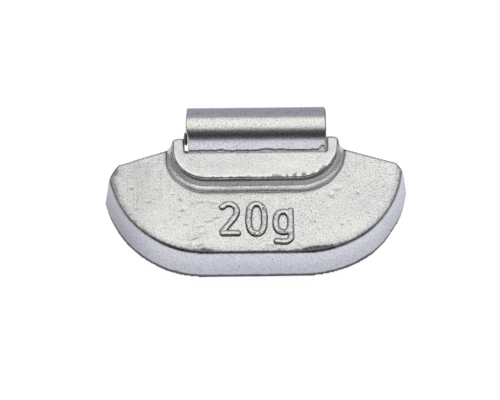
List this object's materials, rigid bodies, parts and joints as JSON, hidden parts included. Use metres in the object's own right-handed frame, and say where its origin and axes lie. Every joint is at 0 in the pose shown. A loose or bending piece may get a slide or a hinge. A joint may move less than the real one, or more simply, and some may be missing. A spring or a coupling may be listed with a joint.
{
  "type": "wheel balance weight",
  "caption": "Clip-on wheel balance weight: a cast crescent with a sprung steel hook that grips the lip of a wheel rim.",
  "frame": {"origin": "on the flat back of the casting, under the middle of the whole part", "axes": "+X along the weight, +Y from its foot towards the clip, which is outwards on a wheel, +Z out of its face"},
  "size_m": [0.0374, 0.0194, 0.0106],
  "materials": {
    "cast_metal": "silver coat over a fine-grained zinc casting",
    "clip_steel": "coated spring steel with sheared edges"
  },
  "bodies": {
    "root": {"cast_weight": "cast_metal", "spring_clip": "clip_steel"}
  },
  "joints": []
}
